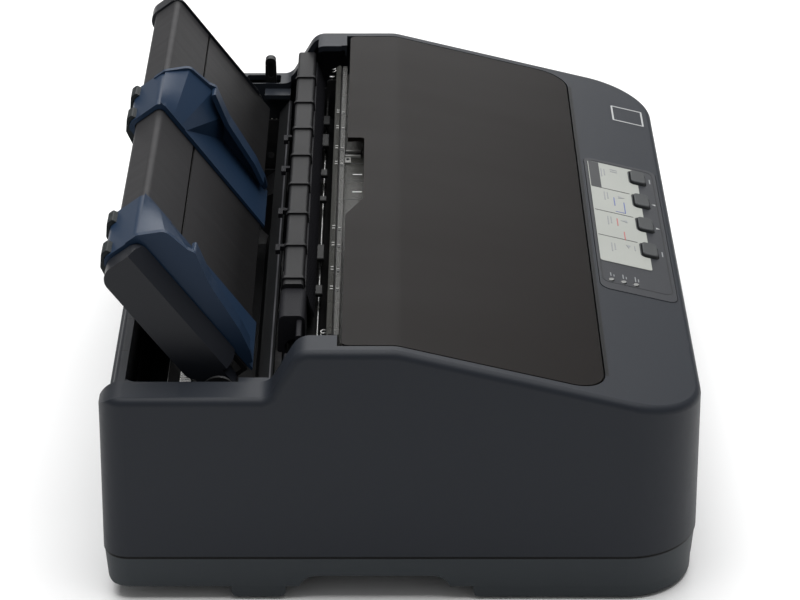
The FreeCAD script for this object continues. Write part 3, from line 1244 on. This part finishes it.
def usb_connector():
    x0, x1, z0, z1 = USB_BOX
    shell = box(x0 + 0.5, x1 - 0.5, 122, HALF_D - 0.8, z0 + 0.5, z1 - 0.5)
    inside = box(x0 + 1.2, x1 - 1.2, 126, HALF_D, z0 + 1.2, z1 - 1.2)
    tongue = box(x0 + 3.6, x1 - 3.6, 125, HALF_D - 2.4, z0 + 4.2, z1 - 4.2)
    return shell.cut(inside).fuse(tongue).removeSplitter()


def power_inlet():
    """Mains inlet with three flat pins in a socket, open at the rear."""
    x0, x1, z0, z1 = INLET_BOX
    x = (x0 + x1) / 2
    z = (z0 + z1) / 2
    block = prism_y(rectangle(x0 + 0.3, x1 - 0.3, z0 + 0.3, z1 - 0.3), 2.6, 118, HALF_D - 0.8)
    inside = prism_y([(x - 12, z - 8), (x + 12, z - 8), (x + 12, z + 3.5), (x + 8, z + 8), (x - 8, z + 8),
                      (x - 12, z + 3.5)], 1, 121.5, HALF_D)
    block = block.cut(inside)
    pins = []
    for px, pz in ((-7, -2.5), (0, 1.5), (7, -2.5)):
        pins.append(box(x + px - 1, x + px + 1, 119, HALF_D - 3, z + pz - 2, z + pz + 2))
    return union([block] + pins)


def interface_board():
    return box(10, 155, 118.5, 133, 44.4, 46.0)


def switch_frame():
    y0, y1, z0, z1 = SWITCH_BOX
    frame = prism_x(rectangle(y0 + 0.2, y1 - 0.2, z0 + 0.2, z1 - 0.2), 1, HALF_W - 14, HALF_W - 1.2)
    well = prism_x(rectangle(y0 + 2, y1 - 2, z0 + 2, z1 - 2), 0.6, HALF_W - 10, HALF_W)
    hole = rod_y(SWITCH_X, y0 + 0.6, y1 - 0.6, (z0 + z1) / 2, 1.2 + RUN_FIT)
    return frame.cut(well).cut(hole)


SWITCH_X = HALF_W - 6.0


def power_switch():
    """Rocker with two faces, on a pin across its frame."""
    y0, y1, z0, z1 = SWITCH_BOX
    z = (z0 + z1) / 2
    half = (z1 - z0) / 2 - 2.6
    points = [(SWITCH_X - 1.6, z - 2.5), (SWITCH_X + 3.2, z - half), (SWITCH_X + 5.0, z - half + 0.2),
              (SWITCH_X + 3.6, z), (SWITCH_X + 5.0, z + half - 0.2), (SWITCH_X + 3.2, z + half),
              (SWITCH_X - 1.6, z + 2.5)]
    rocker = prism_y(points, [1, 0.6, 0.5, 4, 0.5, 0.6, 1], y0 + 2.6, y1 - 2.6)
    return rocker.fuse(rod_y(SWITCH_X, y0 + 1.0, y1 - 1.0, z, 1.2)).removeSplitter()


def release_lever():
    """Upright lever that frees the paper, on a pin low on the right plate."""
    blade = prism_x([(LEVER_Y - 4, LEVER_Z), (LEVER_Y + 4, LEVER_Z), (LEVER_Y + 2.9, 120.5),
                     (LEVER_Y - 2.9, 120.5)],
                    [0, 0, 2.6, 2.6], LEVER_X0, LEVER_X1)
    hub = rod_x(LEVER_X0, LEVER_X1, LEVER_Y, LEVER_Z, 6.0)
    grip = prism_x(rectangle(LEVER_Y - 1.4, LEVER_Y + 1.4, 109, 118), 1.2, LEVER_X0 - 1, LEVER_X0 + 1.2)
    lever = blade.fuse(hub).cut(grip)
    return lever.cut(rod_x(LEVER_X0 - 1, LEVER_X1 + 1, LEVER_Y, LEVER_Z, 2.0 + RUN_FIT)).removeSplitter()


THICK_X = 152.0
THICK_Y = 10.0
THICK_Z = 84.0


def thickness_lever():
    """Lever at the right end of the roller that sets the gap for thick paper."""
    blade = prism_x([(THICK_Y - 2.5, THICK_Z), (THICK_Y + 2.5, THICK_Z), (THICK_Y + 1.5, 108),
                     (THICK_Y - 1.5, 108)],
                    [0, 0, 1, 1], THICK_X - 1.2, THICK_X + 1.2)
    hub = rod_x(THICK_X - 1.2, THICK_X + 1.2, THICK_Y, THICK_Z, 4.5)
    tab = prism_x(rectangle(THICK_Y - 4, THICK_Y + 4, 106, 112), 1.4, THICK_X - 1.2, THICK_X + 1.2)
    lever = union([blade, hub, tab])
    return lever.cut(rod_x(THICK_X - 5, THICK_X + 5, THICK_Y, THICK_Z, 1.5 + RUN_FIT))


def thickness_pin():
    return rod_x(THICK_X - 2.0, FRAME_X, THICK_Y, THICK_Z, 1.5).fuse(
        rod_x(THICK_X - 2.4, THICK_X - 1.4, THICK_Y, THICK_Z, 2.6)).removeSplitter()


def button_plan(x, grow, radius):
    """Upright prism over a button's outline, grown all round."""
    half_x = BUTTON_WIDE / 2 + grow
    half_y = BUTTON_DEEP / 2 + grow
    outer = rectangle(x - half_x, x + half_x, BUTTON_Y - half_y, BUTTON_Y + half_y)
    return prism_z(outer, radius, 60, TOP_Z)


def front_panel():
    """Dark bezel of the control panel, with holes for its buttons and lights."""
    plan = prism_z(rectangle(PANEL_X0 + 0.3, PANEL_X1 - 0.3, PANEL_Y0 + 0.3, PANEL_Y1 - 0.3), 4.7, 60,
                   TOP_Z)
    plate = top_skin(-0.2, PANEL_DEPTH - 0.05, PANEL_X0, PANEL_X1, PANEL_Y0, PANEL_Y1).common(plan)
    for x in BUTTON_XS:
        plate = plate.cut(button_plan(x, 0.45, 2.2))
    for y in LENS_YS:
        plate = plate.cut(rod_z(LENS_X, y, 60, TOP_Z, 1.5))
    return plate


LENS_X = -62.0
LENS_YS = [-101.0, -107.0, -113.0]


def label_sheet():
    """Pale sheet on the panel that names the buttons' places, notched round them."""
    plan = prism_z(rectangle(-43.5, 67.5, -122.5, -97.0), 1.5, 60, TOP_Z)
    sheet = top_skin(-0.45, -0.2, -80, 80, PANEL_Y0, PANEL_Y1).common(plan)
    for x in BUTTON_XS:
        sheet = sheet.cut(button_plan(x, 1.2, 2.6))
    return sheet


def indicator_lenses():
    """Small lenses of the indicator lights."""
    lenses = []
    for y in LENS_YS:
        top = slope_z(y)
        lenses.append(rod_z(LENS_X, y, top - 4, top + 0.5, 1.3))
    return Part.makeCompound(lenses)


def panel_board():
    """Small board under the buttons, with a switch under each."""
    plan = prism_z(rectangle(-66, 66, BUTTON_Y - 8, BUTTON_Y + 14), 1, 60, TOP_Z)
    board = top_skin(12.0, 13.4, -80, 80, -HALF_D, -90).common(plan)
    switches = []
    for x in BUTTON_XS:
        base = prism_z(rectangle(x - 3, x + 3, BUTTON_Y - 3, BUTTON_Y + 3), 0.5, 60, TOP_Z)
        switches.append(top_skin(7.6, 12.1, -80, 80, -HALF_D, -90).common(base))
    return union([board] + switches)


def panel_button(x):
    """Oblong button with rounded corners and a stem down to its switch."""
    cap = top_skin(-1.9, 3.4, x - 8, x + 8, -HALF_D, -90).common(button_plan(x, 0, 1.9))
    top_edges = [e for e in cap.Edges if e.BoundBox.ZMin > slope_z(e.BoundBox.YMin) + 1.4]
    cap = cap.makeFillet(0.6, top_edges)
    stem = prism_z(rectangle(x - 1.6, x + 1.6, BUTTON_Y - 1.6, BUTTON_Y + 1.6), 0.4, 60, TOP_Z)
    stem = top_skin(3.2, 6.2, x - 6, x + 6, -HALF_D, -90).common(stem)
    return cap.fuse(stem).removeSplitter()


def main():
    os.makedirs("parts", exist_ok=True)
    save("upper_case", upper_case())
    save("lower_case", lower_case())
    save("rubber_feet", rubber_feet())
    save("case_screws", case_screws())
    save("side_plates", Part.makeCompound([side_plate(-1), side_plate(1)]))
    save("base_plate", Part.makeCompound([base_plate(), carriage_rail()]))
    save("fixed_shafts", Part.makeCompound([carriage_shaft(), tractor_support_shaft(), paper_wire(),
                                            idler_stub(),
                                            thickness_pin(), idler_bracket()]))
    save("motors", Part.makeCompound([carriage_motor(), feed_motor()]))
    save("motor_pulley", motor_pulley())
    save("idler_pulley", idler_pulley())
    save("timing_belt", timing_belt())
    save("carriage", carriage())
    save("print_head", print_head())
    save("head_cooling_fins", head_fins())
    save("ribbon_mask", ribbon_mask())
    save("platen_roller", platen_roller())
    save("platen_shaft", Part.makeCompound([platen_shaft(), platen_gear()]))
    save("platen_knob", platen_knob())
    save("feed_idler_gear", feed_idler_gear())
    save("feed_pinion", feed_pinion())
    save("tractor_shaft", Part.makeCompound([tractor_shaft(), tractor_gear()]))
    for name, x, outward in (("left", TRACTOR_XS[0], -1), ("right", TRACTOR_XS[1], 1)):
        save("tractor_" + name, tractor_side(x, outward))
        save("tractor_sprocket_" + name, tractor_sprocket(x))
        save("tractor_door_" + name, tractor_door(x, outward))
        save("tractor_lock_" + name, tractor_lock(x, outward))
    save("paper_guide_lower_panel", paper_guide_lower())
    save("paper_guide_upper_panel", paper_guide_upper())
    save("paper_guide_end_caps", Part.makeCompound([guide_end_cap(-1), guide_end_cap(1)]))
    save("edge_guide_left", edge_guide(1, LEFT_FIN_X, LEFT_WIDTH))
    save("edge_guide_right", edge_guide(-1, RIGHT_FIN_X, RIGHT_WIDTH))
    save("edge_guide_catches_left", edge_guide_clips(1, LEFT_FIN_X, LEFT_WIDTH))
    save("edge_guide_catches_right", edge_guide_clips(-1, RIGHT_FIN_X, RIGHT_WIDTH))
    save("tension_bar", tension_bar())
    save("tension_arms", Part.makeCompound([tension_arms(), tension_hooks()]))
    save("tension_rollers", tension_rollers())
    save("tear_bar", tear_bar())
    save("inner_panels", Part.makeCompound([paper_shield(), rear_paper_tray(), bay_floor()]))
    save("printer_cover", printer_cover())
    save("ribbon_cartridge", ribbon_cartridge())
    save("ribbon", ribbon())
    save("ribbon_knob", ribbon_knob())
    save("circuit_boards", Part.makeCompound([main_board(), board_components(), panel_board(),
                                              interface_board()]))
    save("power_supply", Part.makeCompound([transformer(), power_board()]))
    save("signal_sockets", Part.makeCompound([parallel_connector(), serial_connector(), usb_connector()]))
    save("mains_fittings", Part.makeCompound([power_inlet(), switch_frame()]))
    save("power_switch", power_switch())
    save("release_lever", release_lever())
    save("thickness_lever", thickness_lever())
    save("front_panel", front_panel())
    save("label_sheet", label_sheet())
    save("indicator_lenses", indicator_lenses())
    for i, x in enumerate(BUTTON_XS):
        save("panel_button_" + str(i + 1), panel_button(x))


if __name__ == "__main__":
    main()
